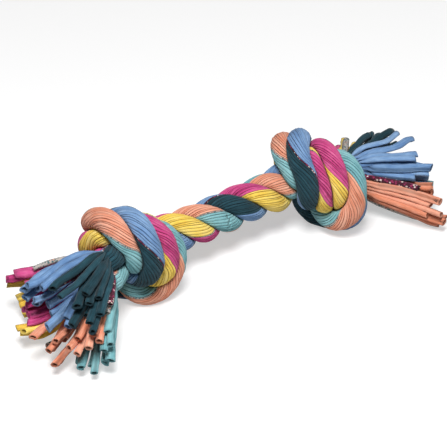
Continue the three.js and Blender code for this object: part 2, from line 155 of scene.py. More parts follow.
# How much shade is painted on such a point: in the creases at a pressed strip's edges and on its back, and
# on a rolled strip's seam, whose points it also marks
PRESSED_CREASE_SHADE = np.append(0.5 * smooth((abs(OUTER_PLACES) - 0.8) / 0.2), [0.8, 1, 1, 0.8])
ROLLED_SEAM_SHADE = np.append(np.zeros(len(OUTER_PLACES)), [0, 0.6, 0.6, 0])
# How a strip's dye differs from the others', towards deep or pale
ROPE_TONES = (-1, 1)
LOOSE_TONES = (-1.8, 0.8)

# The tassels, in millimetres: their lengths, their heights over the floor and the width across the tips
TASSEL_LENGTHS = {"left": 70, "right": 54}
TASSEL_HEIGHTS = {"left": 57, "right": 46}
TASSEL_WIDTH = 200
STATIONS = 20  # along a tassel, where its strips are laid out
# The end of a strand that the loose strips needn't keep clear of
TAIL_CLEAR = 26
# How far a tassel leans to the front, as a share of its length, and how late it spreads
TASSEL_LEAN = 0.26
FAN_POWER = 1.1
# By what share of the length the lowest and the uppermost strips have come to their tips' height
HANG = (0.6, 0.95)
# How far strips sway across and in height by their tips, and the waves they sway in
SWAY_ACROSS = 5
SWAY_HEIGHT = 3
SWAY_RUN = 90
SWAY_WAVE = 160
# How the strips make room for each other and for the knot
CROWD_ROUNDS = 40
CROWD_PUSH = 0.25
KNOT_PUSH = 0.5

# How long the strips are cut, in millimetres, and what share of that the printed ones have
STRIP_LENGTHS = {"left": (50, 72), "right": (44, 64)}
PRINT_LENGTH = 0.8
# How much shorter the strips at the front and at the back are
EDGE_LENGTHS = {"left": (0.74, 0.84), "right": (0.96, 0.8)}
# How much longer the lowest strips are, and how much shorter the uppermost
HEIGHT_LENGTHS = (1.12, 0.9)

# A loose strip, pressed at its root and rolled to a tube further out, in millimetres
ROOT_WIDTH = 2.8
ROOT_THICKNESS = 2.6
TUBE_WIDTH = 6.3
TUBE_THICKNESS = 4.9
ROLL_LENGTH = 15
# The share of a tassel's length in which its strips take up their full room
ROOM_SHARE = 0.22
# How tubes differ: in size, along their length, in the angles they roll and lean by, and in their cut
TUBE_SIZES = (0.85, 1.1)
TUBE_SWELL = 0.06
TUBE_WAVE = 26
ROLL_ANGLE = 2
LEAN_ANGLE = 0.6
CUT_SLANT = 0.35
# How near the tube's middle its seam lies, as a share of its radius
SEAM_INSET = 0.7
# The hollow in a cut end, at its rim and its bottom: share of the tube's size, depth, weave and the shade
# painted there
HOLLOW_SIZES = (0.66, 0.5)
HOLLOW_DEPTHS = (0.2, 6)
HOLLOW_WEAVE = (1.2, 7)
HOLLOW_SHADES = (0.6, 1)
# The printed strips between the strands: how far out, in rope diameters, their root's radius and their size
PRINT_SEAT = 0.42
PRINT_ROOT = 1.3
PRINT_SIZE = 0.8


def unit(vectors):
    return vectors / np.linalg.norm(vectors, axis=-1, keepdims=True)


def eased(before, here, after):
    return (before + 2 * here + after) / 4


def steps_of(points):
    return np.linalg.norm(np.diff(points, axis=0), axis=1)


def lengths_along(points):
    return np.concatenate([[0], np.cumsum(steps_of(points))])


def points_at(points, places):
    """The points of a line at given lengths along it."""
    along = lengths_along(points)
    return np.stack([np.interp(places, along, points[:, i]) for i in range(3)], axis=1)


def resample(points, count):
    """The same line with evenly spaced points."""
    return points_at(points, np.linspace(0, lengths_along(points)[-1], count))


def turned(points, axis, degrees):
    """Points turned about X, Y or Z; degrees may differ from point to point."""
    angle = np.radians(degrees)
    a, b = (axis + 1) % 3, (axis + 2) % 3
    result = points.copy()
    result[:, a] = points[:, a] * np.cos(angle) - points[:, b] * np.sin(angle)
    result[:, b] = points[:, a] * np.sin(angle) + points[:, b] * np.cos(angle)
    return result


def carry_frames(points, start, first_normal):
    """Tangents, with a normal carried along from one point both ways without twisting."""
    ends = np.concatenate([points[:1], points, points[-1:]])
    tangents = unit(ends[2:] - ends[:-2])
    normals = np.zeros_like(points)

    def across(vector, i):
        return unit(vector - tangents[i] * (vector @ tangents[i]))

    normals[start] = across(np.array(first_normal, float), start)
    for i in range(start + 1, len(points)):
        normals[i] = across(normals[i - 1], i)
    for i in range(start - 1, -1, -1):
        normals[i] = across(normals[i + 1], i)
    return tangents, normals, np.cross(tangents, normals)


# The strands' lines, drawn tight as in the solids


def draw_links(points, link):
    """Draws the links of the chains towards one length, every second link in turn; the ends stay."""
    ends = points[:, [0, -1]].copy()
    for sweep in range(LINK_SWEEPS):
        odd = sweep % 2
        first, second = points[:, odd:-1:2], points[:, odd + 1 :: 2]
        step = second - first
        length = np.linalg.norm(step, axis=2, keepdims=True)
        step = step * (0.5 * (length - link) / length)
        points[:, odd:-1:2] += step
        points[:, odd + 1 :: 2] -= step
        points[:, [0, -1]] = ends


def settle(chains, contact, link_end, rounds, smoothing, guide=np.inf):
    """Soft chains come to rest: links draw in, bends even out, passes that touch push each other apart."""
    points = np.array(chains)
    count = points.shape[1]
    link_start = steps_of(points[0]).sum() / (count - 1)
    chain = np.repeat(np.arange(len(points)), count)
    place = np.tile(np.arange(count), len(points))
    own = np.where(chain[:, None] == chain, abs(place[:, None] - place), count)
    for turn in range(rounds):
        link = mix(link_start, link_end, min(1, turn / (DRAWING_SHARE * rounds)))
        points[:, 1:-1] += smoothing * ((points[:, :-2] + points[:, 2:]) / 2 - points[:, 1:-1])
        flat = points.reshape(-1, 3)
        apart = flat[:, None] - flat
        distance = np.sqrt((apart**2).sum(axis=2))
        touch = (distance < contact) & (own >= OWN_CONTACT * contact / link)
        strength = np.where(touch, 0.5 * (contact - distance) / np.maximum(distance, TINY), 0)
        crowd = np.sqrt(np.maximum(touch.sum(axis=1), 1))
        push = (strength[:, :, None] * apart).sum(axis=1) / crowd[:, None]
        points[:, 1:-1] += push.reshape(points.shape)[:, 1:-1]
        draw_links(points, link)
        points[..., 1:] *= np.where(abs(points[..., :1]) > guide, GUIDE_PULL, 1)
    return points


def loose_loop():
    """A loose right-handed overhand loop on the X axis, before it is pulled tight."""
    edge, lead, size = 1.95, 2.8, 1.3
    drop, drop_start, drop_run = 1.9, 2.2, 2
    depth = 0.5
    loop_steps, lead_steps = 200, 60
    i = np.arange(-loop_steps - lead_steps, loop_steps + lead_steps + 1)
    t = edge * np.clip(i, -loop_steps, loop_steps) / loop_steps
    past = lead * np.maximum(abs(i) - loop_steps, 0) / lead_steps
    keep = 1 - smooth(past / lead)
    x = t**3 - 3 * t + np.sign(i) * past
    y = (t**4 - 4 * t * t) * keep + drop * (1 - smooth((abs(x) - drop_start) / drop_run))
    z = depth * (t**5 - 10 * t) * keep
    return size * np.stack([x, y, z], axis=1)


def tied_knot():
    """The loop pulled tight, until it takes up the rope that a tied knot does."""
    axis = resample(loose_loop(), KNOT_POINTS)
    link_end = (axis[-1, 0] - axis[0, 0] + KNOT_TAKE) / (len(axis) - 1)
    guide = KNOT_REACH + GUIDE_ROOM
    return settle([axis], ROPE_CONTACT, link_end, KNOT_ROUNDS, KNOT_SMOOTHING, guide)[0]


def placed_knot(knot, side, roll, pitch, yaw, tail_pitch, tail_yaw):
    """A knot as it lies, with its tail turned its own way and its lead eased back to the rope's axis."""
    swing = 1 - smooth((abs(knot[:, 0]) - SWING_START) / SWING_RUN)
    tail = np.where(knot[:, 0] * side > 0, 1 - swing, 0)
    points = turned(turned(knot, 0, roll), 1, pitch * swing + tail_pitch * tail)
    return turned(points, 2, yaw * swing + tail_yaw * tail) * KNOT_FORM


def rope_axis():
    """The middle of the rope, from one spare tail through both knots to the other."""
    centre = MIDDLE_LENGTH / ROPE_DIAMETER / 2 + KNOT_REACH
    tail = KNOT_REACH + TAIL_REACH + SPARE_TAIL
    knot = tied_knot()

    def part(points, low, high, x):
        first = np.argmax(points[:, 0] > low)
        last = np.flatnonzero(points[:, 0] < high)[-1]
        return points[first : last + 1] + [x, 0, 0]

    left = part(placed_knot(knot, *LEFT_KNOT), -tail, KNOT_REACH, -centre)
    right = part(placed_knot(knot, *RIGHT_KNOT), -KNOT_REACH, tail, centre)
    first = mix(left[1], left[0], (-centre - tail - left[1, 0]) / (left[0, 0] - left[1, 0]))
    last = mix(right[-2], right[-1], (centre + tail - right[-2, 0]) / (right[-1, 0] - right[-2, 0]))
    points = np.concatenate([[first], left, right, [last]])
    return resample(points, round(steps_of(points).sum() / AXIS_STEP))


def lay_strands(axis):
    """The strands laid round the rope's axis, settled against each other."""
    start = np.argmax((axis[:-1, 0] < 0) & (axis[1:, 0] >= 0))
    _, normals, binormals = carry_frames(axis, start, (0, 0, 1))
    spacing = steps_of(axis[:2])[0]
    i = np.arange(len(axis))
    to_end = np.minimum(i, len(axis) - 1 - i) * spacing
    in_knot = smooth((abs(i - start) * spacing - MIDDLE_LENGTH / ROPE_DIAMETER / 2) / LAY_EASE)
    rate = 2 * np.pi * ROPE_DIAMETER / mix(ROPE_LAY, KNOT_LAY, in_knot)
    turn = rate * spacing * smooth((to_end - SPARE_TAIL) / LAY_EASE)
    turn = np.cumsum(turn) - np.cumsum(turn)[start]
    turn += np.radians(TAIL_TURN) * (1 - smooth((i * spacing - SPARE_TAIL) / TAIL_RUN))
    chains = []
    for k in range(len(STRANDS)):
        angle = (np.radians(STRAND_PHASE + 360 / len(STRANDS) * k) + turn)[:, None]
        chains.append(axis + STRAND_OFFSET * (normals * np.cos(angle) + binormals * np.sin(angle)))
    count = round(steps_of(chains[0]).sum() / RING_STEP) + 1
    chains = [resample(chain, count) for chain in chains]
    link_end = STRAND_TAUT * steps_of(chains[0]).sum() / (count - 1)
    return settle(chains, STRAND_CONTACT, link_end, STRAND_ROUNDS, STRAND_SMOOTHING)


def cut_tails(chain):
    """A strand without its spare tails, cut straight across at both mouths."""
    reach = MIDDLE_LENGTH / ROPE_DIAMETER / 2 + 2 * KNOT_REACH + TAIL_REACH
    first = np.argmax(chain[:, 0] > -reach)
    last = np.flatnonzero(chain[:, 0] < reach)[-1]

    def crossing(inner, outer, x):
        return mix(inner, outer, (x - inner[0]) / (outer[0] - inner[0]))

    start = crossing(chain[first], chain[first - 1], -reach)
    end = crossing(chain[last], chain[last + 1], reach)
    return np.concatenate([[start], chain[first + 1 : last], [end]])


def lay_on_floor(chains):
    """Both knots on the floor, at real size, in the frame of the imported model."""

    def lowest(points, side):
        knot = points[points[:, 0] * side > 0]
        return knot[np.argmin(knot[:, 2])]

    chains = [chain * ROPE_DIAMETER for chain in chains]
    points = np.concatenate(chains)
    left, right = lowest(points, -1), lowest(points, 1)
    tilt = np.degrees(np.arctan2(right[2] - left[2], right[0] - left[0]))
    chains = [turned(chain, 1, tilt) for chain in chains]
    points = np.concatenate(chains)
    ground = min(lowest(points, -1)[2], lowest(points, 1)[2]) - STRAND_RADIUS + FLOOR_CUT
    mouth = np.mean([chain[0] for chain in chains], axis=0)
    hinge = np.array(HINGES["left_tassel_lift"]) * MILLIMETRES
    shift = np.array([hinge[0] - mouth[0], hinge[1] - mouth[1], -ground])
    return [chain + shift for chain in chains]


def refine(chain):
    """A smooth line through the points of a chain."""
    ends = np.concatenate([[2 * chain[0] - chain[1]], chain, [2 * chain[-1] - chain[-2]]])
    a, b, c, d = ends[:-3], ends[1:-2], ends[2:-1], ends[3:]
    square, cube = 2 * a - 5 * b + 4 * c - d, 3 * b - a - 3 * c + d
    pieces = []
    for step in range(FINE_STEPS):
        t = step / FINE_STEPS
        pieces.append(0.5 * (2 * b + (c - a) * t + square * t**2 + cube * t**3))
    return np.concatenate([np.stack(pieces, axis=1).reshape(-1, 3), chain[-1:]])


# The cloth of the strands


def drift(along, wavelength):
    """A smooth random line along a strip, about -1 to 1."""
    total = np.zeros_like(along)
    for share in DRIFT_SHARES:
        total += np.sin(2 * np.pi * along / (wavelength * share) + rng.uniform(0, 2 * np.pi))
    return total / 2


def cloth_reach(k, lines, turn, frames):
    """How far a strand's cloth reaches in each direction round it, and the share that is pressed away."""
    line = lines[k]
    _, normals, binormals = frames
    own = OWN_SPAN * STRAND_RADIUS / steps_of(line).mean()
    others = np.concatenate(lines)
    strand = np.concatenate([np.full(len(each), i) for i, each in enumerate(lines)])
    place = np.concatenate([np.arange(len(each)) for each in lines])
    angles = np.arange(DIRECTIONS) * 2 * np.pi / DIRECTIONS
    from_middle = abs(line[:, 0] - line[:, 0].mean())
    free = mix(FREE_MIDDLE, FREE_KNOT, smooth((from_middle - MIDDLE_LENGTH / 2 + FREE_LEAD) / FREE_RUN))
    reach = np.zeros((len(line), DIRECTIONS))
    for i, centre in enumerate(line):
        angle = (turn[i] + angles)[:, None]
        directions = normals[i] * np.cos(angle) + binormals[i] * np.sin(angle)
        apart = centre - others
        square = (apart**2).sum(axis=1)
        near = (square < (FELT_SPAN * STRAND_RADIUS) ** 2) & ~((strand == k) & (abs(place - i) < own))
        facing = CLOTH_GAP - directions @ apart[near].T
        halfway = (square[near] - CLOTH_GAP**2) / (2 * np.maximum(facing, TINY))
        halfway = np.where(facing > TINY, halfway, np.inf)
        down = -directions[:, 2]
        floor = np.where(down > 0, (centre[2] - FLOOR_GAP) / np.maximum(down, TINY), np.inf)
        reach[i] = np.minimum(np.minimum(halfway.min(axis=1, initial=np.inf), floor), free[i])
    padded = np.pad(reach, ((1, 1), (0, 0)), mode="edge")
    reach = eased(padded[:-2], padded[1:-1], padded[2:])
    for _ in range(EASING_ROUNDS):
        reach = eased(np.roll(reach, 1, axis=1), reach, np.roll(reach, -1, axis=1))
    return reach, 1 - reach / free[:, None]


def round_strand(table, angle):
    """What a table of values in each direction round a strand gives at angles between them."""
    place = (angle * DIRECTIONS / (2 * np.pi)) % DIRECTIONS
    below = np.floor(place).astype(int) % DIRECTIONS
    above = (below + 1) % DIRECTIONS
    rows = np.arange(len(table))[:, None]
    return mix(table[rows, below], table[rows, above], place - np.floor(place))


def print_tone(strand):
    """Which ground a printed strip has: the dark one above 0, the pale one below."""
    return 1 if strand == DARK_PRINT else -1


def strand_strips(k, lines, middle):
    """The strips of one strand from mouth to mouth: colour, rings of points, and each ring's place."""
    (first, second), split, tail_spin, counts = STRANDS[k]
    line = lines[k]
    frames = carry_frames(line, middle, (0, 0, 1))
    along = np.arange(len(line)) * steps_of(line).mean()
    in_tail = 1 - smooth(along / (TAIL_RUN * ROPE_DIAMETER))
    turn = np.radians(split + tail_spin * in_tail) - 2 * np.pi * (along - along[middle]) / STRAND_TWIST
    reach, pressed = cloth_reach(k, lines, turn, frames)
    colours = [first] * counts[0] + ["print"] + [second] * counts[1]
    plain_widths = rng.uniform(*STRIP_WIDTHS, len(colours))
    widths = np.where(np.array(colours) == "print", PRINT_WIDTH, plain_widths)
    edges = np.concatenate([[0], np.cumsum(widths)]) * 2 * np.pi / widths.sum()
    most = EDGE_WANDER * widths.min() * 2 * np.pi / widths.sum()
    wander = [most * drift(along, EDGE_WAVE) for _ in colours]
    depth = [rng.choice(SEAM_DEPTHS) * (1 + SEAM_CHANGE * drift(along, SEAM_WAVE)) for _ in colours]
    _, normals, binormals = frames
    t = OUTER_PLACES
    strips = []
    for j, colour in enumerate(colours):
        after = (j + 1) % len(colours)
        low = edges[j] + wander[j] + SEAM_GAP
        high = edges[j + 1] + wander[after] - SEAM_GAP
        swell = STRIP_FULL + STRIP_SWELL * drift(along, SWELL_WAVE)
        outer = low[:, None] + (high - low)[:, None] * (t + 1) / 2
        seam = np.where(t < 0, depth[j][:, None], depth[after][:, None])
        groove = seam * abs(t) ** SEAM_POWER + STRIP_CROWN * t**2
        share = (1 - groove) * np.minimum(swell, 1)[:, None]
        angle = np.column_stack([outer, high, high, low, low])
        share = np.column_stack([share] + [np.full(len(line), inner) for inner in INNER_DEPTHS])
        radius = round_strand(reach, angle) * share
        # Painted shade where the strand lies hard against another, on top of that in the strip's creases
        contact = smooth(round_strand(pressed, angle) / CONTACT_DEPTH)
        direction = angle + turn[:, None]
        rings = (
            line[:, None]
            + (radius * np.cos(direction))[..., None] * normals[:, None]
            + (radius * np.sin(direction))[..., None] * binormals[:, None]
        )
        rings[0, :, 0] = line[0, 0]
        rings[-1, :, 0] = line[-1, 0]
        tone = rng.uniform(*ROPE_TONES)
        strips.append({
            "colour": colour,
            "strand": k,
            "rings": rings,
            "along": along,
            "across": PRESSED_ACROSS,
            "painted_shade": np.maximum(PRESSED_CREASE_SHADE, CONTACT_SHADE * contact),
            "tone": print_tone(k) if colour == "print" else tone,
        })
    return strips


# The loose ends


def keep_apart(spots, size, passes, clear):
    """Strips side by side push each other apart, keep clear of the knot's passes and lie on the floor."""
    rows = np.arange(len(spots))
    for _ in range(CROWD_ROUNDS):
        apart = (spots[:, None] - spots) / size
        distance = np.sqrt((apart**2).sum(axis=2))
        distance[rows, rows] = 1  # a strip doesn't push itself
        strength = np.where(distance < 1, CROWD_PUSH * (1 - distance) / np.maximum(distance, TINY), 0)
        spots = spots + (strength[:, :, None] * apart).sum(axis=1) * size
        if len(passes):
            apart = spots[:, None] - passes
            distance = np.sqrt((apart**2).sum(axis=2))
            nearest = np.argmax(clear - distance, axis=1)
            short = np.maximum(clear[nearest] - distance[rows, nearest], 0) / distance[rows, nearest]
            spots = spots + apart[rows, nearest] * KNOT_PUSH * short[:, None]
        spots[:, 1] = np.maximum(spots[:, 1], size[1] / 2 + FLOOR_GAP)
    return spots


def fan_out(name, roots, mouth, side, knot):
    """Where each loose strip runs, at stations between the knot's mouth and the longest tip."""
    length = TASSEL_LENGTHS[name]
    up = 2 * (roots[:, 1] - mouth[2]) / ROPE_DIAMETER
    tip_y = mouth[1] + (roots[:, 0] - mouth[1]) * TASSEL_WIDTH / ROPE_DIAMETER
    tip_z = TASSEL_HEIGHTS[name] * (up + 1) / 2
    # The low strips come down first, and the upper ones lie on them
    fall = mix(*HANG, np.clip((up + 1) / 2, 0, 1))
    stations = np.linspace(0, 1, STATIONS)
    waves = [drift(stations * SWAY_RUN + SWAY_RUN * n, SWAY_WAVE) for n in range(2 * len(roots))]
    fans = []
    for u, sway in zip(stations, np.stack(waves, axis=1)):
        sway_y, sway_z = np.split(sway, 2)
        y = mix(roots[:, 0], tip_y, u**FAN_POWER) - TASSEL_LEAN * length * u + SWAY_ACROSS * sway_y * u
        z = mix(roots[:, 1], tip_z, smooth(u / fall)) + SWAY_HEIGHT * sway_z * u
        fans.append(np.stack([y, z], axis=1))
    places = [roots]
    for i in range(1, STATIONS):
        grown = smooth(stations[i] / ROOM_SHARE)
        size = np.array([mix(ROOT_WIDTH, TUBE_WIDTH, grown), mix(ROOT_THICKNESS, TUBE_THICKNESS, grown)])
        x = mouth[0] + side * length * stations[i]
        clear = (FREE_KNOT + size.max() / 2) ** 2 - (knot[:, 0] - x) ** 2
        passes = knot[clear > 0, 1:]
        clear = np.sqrt(clear[clear > 0])
        places.append(keep_apart(places[-1] + fans[i] - fans[i - 1], size, passes, clear))
    places = np.array(places)
    for _ in range(EASING_ROUNDS):
        places[1:-1] = eased(places[:-2], places[1:-1], places[2:])
    return stations, places


def loose_strip(root_ring, path, side, width):
    """A strip from its pressed form at the mouth to a rolled tube with a hollow cut end."""
    root = root_ring - path[0]
    # The tube's points stand in the same order round it as the pressed strip's
    angles = np.unwrap(np.arctan2(root[:, 2], root[:, 1]))
    even = angles[0] + np.sign(angles[-1] - angles[0]) * np.arange(len(root)) * 2 * np.pi / len(root)
    seam = np.where(ROLLED_SEAM_SHADE > 0, SEAM_INSET, 1)
    roll = rng.uniform(-ROLL_ANGLE, ROLL_ANGLE)
    wide = width * TUBE_WIDTH / 2 * rng.uniform(*TUBE_SIZES)
    thick = width * TUBE_THICKNESS / 2 * rng.uniform(*TUBE_SIZES)
    lean = rng.uniform(-LEAN_ANGLE, LEAN_ANGLE)
    slant = rng.uniform(-CUT_SLANT, CUT_SLANT, 2)
    tangents, first, second = carry_frames(path, 0, (0, 1, 0))
    if side < 0:
        second = -second
    along = lengths_along(path)
    swell = 1 + TUBE_SWELL * drift(along, TUBE_WAVE)
    rings = []
    painted_shades = []
    for i, grown in enumerate(smooth(along / ROLL_LENGTH)):
        # Painted shade, from the pressed strip's creases to the rolled tube's seam
        painted_shades.append(mix(PRESSED_CREASE_SHADE, ROLLED_SEAM_SHADE, grown))
        turn = even + roll * grown
        tube_y = wide * np.cos(turn) * seam
        tube_z = thick * np.sin(turn) * seam
        leaning_y = tube_y * np.cos(lean * grown) - tube_z * np.sin(lean * grown)
        leaning_z = tube_y * np.sin(lean * grown) + tube_z * np.cos(lean * grown)
        y = mix(root[:, 1], leaning_y, grown) * swell[i]
        z = mix(root[:, 2], leaning_z, grown) * swell[i]
        rings.append(path[i] + y[:, None] * first[i] + z[:, None] * second[i])
    rings[0] = root_ring
    rings[-1] = rings[-1] + (slant[0] * y + slant[1] * z)[:, None] * tangents[-1]
    cut_end = rings[-1]
    # The hollow of the cut end gets painted shade, darkest at its bottom
    for size, depth, painted_shade in zip(HOLLOW_SIZES, HOLLOW_DEPTHS, HOLLOW_SHADES):
        rings.append(mix(path[-1], cut_end, size) - depth * tangents[-1])
        painted_shades.append(np.full(len(root), painted_shade))
    rings = np.array(rings)
    rings[..., 2] = np.maximum(rings[..., 2], FLOOR_GAP)
    return rings, np.concatenate([along, along[-1] + HOLLOW_WEAVE]), np.array(painted_shades)


def cut_length(name, seat, printed):
    """How long a strip is cut, by where it leaves the mouth."""
    across = 2 * seat[1] / ROPE_DIAMETER
    edge = EDGE_LENGTHS[name][int(across > 0)]
    height = np.clip(0.5 + seat[2] / ROPE_DIAMETER, 0, 1)
    length = rng.uniform(*STRIP_LENGTHS[name]) * mix(1, edge, smooth(abs(across)))
    length *= mix(*HEIGHT_LENGTHS, height)
    return length * PRINT_LENGTH if printed else length


def loose_strips(name, side, strips, lines):
    """Every strip of the rope runs on as a loose end, and three printed strips leave between the strands."""
    at = 0 if side < 0 else -1
    ends = np.array([line[at] for line in lines])
    mouth = ends.mean(axis=0)
    roots = [strip["rings"][at] for strip in strips]
    owners = [(strip["colour"], strip["strand"]) for strip in strips]
    angle = np.linspace(0, 2 * np.pi, RING_POINTS, endpoint=False)
    print_ring = PRINT_ROOT * np.stack([0 * angle, np.cos(angle), np.sin(angle)], axis=1)
    for k in range(len(STRANDS)):
        valley = (ends[k] + ends[(k + 1) % len(STRANDS)]) / 2 - mouth
        valley = unit(valley * [0, 1, 1])
        roots.append(mouth + valley * PRINT_SEAT * ROPE_DIAMETER + print_ring)
        owners.append(("print", k))
    centres = np.array([root.mean(axis=0) for root in roots])
    tail = round(TAIL_CLEAR / steps_of(lines[0]).mean())
    knot = np.concatenate([line[tail:] if side < 0 else line[:-tail] for line in lines])
    stations, places = fan_out(name, centres[:, 1:], mouth, side, knot)
    x = mouth[0] + side * TASSEL_LENGTHS[name] * stations
    tubes = {}
    for n, (root, (colour, strand)) in enumerate(zip(roots, owners)):
        printed = colour == "print"
        path = np.column_stack([x, places[:, n]])
        cut = cut_length(name, centres[n] - mouth, printed)
        path = points_at(path, np.linspace(0, min(lengths_along(path)[-1], cut), STATIONS + 2))
        rings, along, painted_shade = loose_strip(root, path, side, PRINT_SIZE if printed else 1)
        tone = rng.uniform(*LOOSE_TONES)
        # The left strips run the other way, so their points go round the other way too
        order = slice(None, None, side)
        tubes.setdefault((colour, strand), []).append({
            "rings": rings[:, order],
            "along": along,
            "across": ROLLED_ACROSS[order],
            "painted_shade": painted_shade[:, order],
            "tone": print_tone(strand) if printed else tone,
            "loose": True,
        })
    return tubes


# Meshes, nodes and materials


def build(name, tubes, material):
    """One object of closed tubes, with the place round and along each strip kept for its weave."""
    vertices, faces, smooth_faces, cut_ends = [], [], [], []
    marks = {"across": [], "along": [], "painted_shade": [], "tone": []}
    start = 0
    for tube in tubes:
        rings = tube["rings"]
        count, size = rings.shape[:2]
        index = start + np.arange(count * size).reshape(count, size)
        following = np.roll(index, -1, axis=1)
        quads = np.stack([index[:-1], following[:-1], following[1:], index[1:]], axis=-1).reshape(-1, 4)
        faces += quads.tolist() + [index[0][::-1].tolist(), index[-1].tolist()]
        smooth_faces += [True] * len(quads) + [False, False]
        cut_ends += [False] * (len(quads) + 1) + [tube.get("loose", False)]
        vertices.append(rings.reshape(-1, 3) / MILLIMETRES)
        marks["across"].append(np.tile(tube["across"], count))
        marks["along"].append(np.repeat(tube["along"], size))
        # Painted shade in the creases, seams, hollows and where strands press together
        marks["painted_shade"].append(tube["painted_shade"].reshape(-1))
        marks["tone"].append(np.full(count * size, tube["tone"]))
        start += count * size
    mesh = bpy.data.meshes.new(name)
    mesh.from_pydata(np.concatenate(vertices).tolist(), [], faces)
    for label, values in marks.items():
        attribute = mesh.attributes.new(label, "FLOAT", "POINT")
        attribute.data.foreach_set("value", np.concatenate(values).astype(np.float32))
    mesh.attributes.new("cut_end", "BOOLEAN", "FACE").data.foreach_set("value", cut_ends)
    mesh.polygons.foreach_set("use_smooth", smooth_faces)
    mesh.materials.append(material)
    mesh.update()
    piece = bpy.data.objects.new(name, mesh)
    bpy.context.scene.collection.objects.link(piece)
    return piece


class Nodes:
    """The nodes of a material or of a modifier, added and linked one by one."""

    def __init__(self, tree):
        self.tree = tree

    @property
    def shader(self):
        return self.tree.nodes["Principled BSDF"]

    def add(self, kind, inputs=None, **settings):
        node = self.tree.nodes.new(kind)
        for key, value in settings.items():
            setattr(node, key, value)
        for key, value in (inputs or {}).items():
            self.put(node.inputs[key], value)
        return node

    def put(self, socket, value):
        if isinstance(value, bpy.types.NodeSocket):
            self.tree.links.new(value, socket)
        else:
            socket.default_value = value

    def math(self, operation, *values):
        node = self.add("ShaderNodeMath", operation=operation)
        for socket, value in zip(node.inputs, values):
            self.put(socket, value)
        return node.outputs[0]

    def times(self, value, factor):
        return self.math("MULTIPLY", value, factor)

    def about_zero(self, value, spread):
        """A value from 0 to 1 spread evenly to both sides of 0."""
        return self.math("MULTIPLY_ADD", value, spread, -spread / 2)

    def blend(self, factor, a, b):
        """Two colours mixed; the node's colours are its seventh and eighth inputs and its third output."""
        node = self.add("ShaderNodeMix", data_type="RGBA")
        self.put(node.inputs[0], factor)
        self.put(node.inputs[6], a)
        self.put(node.inputs[7], b)
        return node.outputs[2]

    def attribute(self, label):
        return self.add("ShaderNodeAttribute", attribute_name=label).outputs["Fac"]

    def place(self):
        return self.add("ShaderNodeTexCoord").outputs["Object"]

    def noise(self, place, scale, detail):
        return self.add("ShaderNodeTexNoise", {"Vector": place, "Scale": scale, "Detail": detail}).outputs[0]


# The knit's wales and courses, in millimetres, and how strongly they, the fuzz and the streaks stand out
WALE_WIDTH = 0.85
COURSE_LENGTH = 1.1
COURSE_SHARE = 0.45
KNIT_SHARE = 0.5
FUZZ_SHARE = 1.6
STREAK_SHARE = 2.0
BUMP_STRENGTH = 0.35
BUMP_DISTANCE = 0.0004
# How fine the fuzz, the clouds in the dye and the streaks are
FUZZ_SCALE = 900.0
CLOUD_SCALE = 140.0
NOISE_DETAIL = 3.0
STREAK_SCALES = {"along": 0.11, "across": 2.2, "tone": 40.0}
STREAK_DETAIL = 2.0
# How much the dye changes from strip to strip, in clouds and in streaks, and where its shades lie
TONE_SPREAD = 0.18
CLOUD_SPREAD = 0.7
STREAK_SPREAD = 1.3
DEEP_PLACE = 0.1
USUAL_PLACE = 0.5
PALE_PLACE = 0.9
# Painted shade: how strongly creases, seams, hollows and pressed places are darkened, and the colour they
# darken towards
CREASE_SHADE = 0.75
PAINTED_SHADE_COLOUR = (0.004, 0.004, 0.005, 1)
# Each dye's usual, deep and pale shade
DYES = {
    "yellow": ("f5d45e", "dfb142", "fae08c"),
    "magenta": ("ca4684", "aa2b68", "de709f"),
    "coral": ("e79e83", "d5805f", "efb69c"),
    "aqua": ("7cb2b8", "61989f", "96c5c9"),
    "blue": ("7799c2", "5b7fad", "92b1d4"),
    "teal": ("1d404b", "122f38", "2e5663"),
}
# The print: how close its flowers and leaves stand, how large and how ragged they are
FLOWER_SCALE = 360.0
FLOWER_SIZE = 0.44
FLOWER_RAGGED = 0.3
HEART_SIZE = 0.14
LEAF_SCALE = 520.0
LEAF_SIZE = 0.6
LEAF_RAGGED = 0.4
RAGGED_SCALE = 700.0
# Its colours on the pale and on the dark ground
PRINT_GROUNDS = ("b3aca6", "471c2b")
PRINT_LEAVES = ("516d70", "8f2f55")
PRINT_FLOWERS = ("a8736d", "d8c6c2")
PRINT_HEART = "e3d5b4"


def linear(colour):
    """A written colour as the shader takes it."""
    values = np.array([int(colour[i : i + 2], 16) / 255 for i in (0, 2, 4)])
    return (*np.where(values <= 0.04045, values / 12.92, ((values + 0.055) / 1.055) ** 2.4), 1)


def new_material(name):
    material = bpy.data.materials.new(name)
    material.use_nodes = True
    return material, Nodes(material.node_tree)


def streaks(nodes):
    """Uneven lines that run along each strip."""
    x, y, z = [nodes.times(nodes.attribute(label), scale) for label, scale in STREAK_SCALES.items()]
    place = nodes.add("ShaderNodeCombineXYZ", {"X": x, "Y": y, "Z": z}).outputs[0]
    return nodes.noise(place, 1.0, STREAK_DETAIL)


def jersey_bump(nodes):
    """Wales along the strip and courses across it, with a little fuzz."""
    wale = nodes.math("SINE", nodes.times(nodes.attribute("across"), 2 * np.pi / WALE_WIDTH))
    course = nodes.math("SINE", nodes.times(nodes.attribute("along"), 2 * np.pi / COURSE_LENGTH))
    knit = nodes.math("ADD", wale, nodes.times(course, COURSE_SHARE))
    fuzz = nodes.times(nodes.noise(nodes.place(), FUZZ_SCALE, NOISE_DETAIL), FUZZ_SHARE)
    fuzz = nodes.math("ADD", fuzz, nodes.times(streaks(nodes), STREAK_SHARE))
    height = nodes.math("ADD", nodes.times(knit, KNIT_SHARE), fuzz)
    settings = {"Height": height, "Strength": BUMP_STRENGTH, "Distance": BUMP_DISTANCE}
    nodes.put(nodes.shader.inputs["Normal"], nodes.add("ShaderNodeBump", settings).outputs[0])


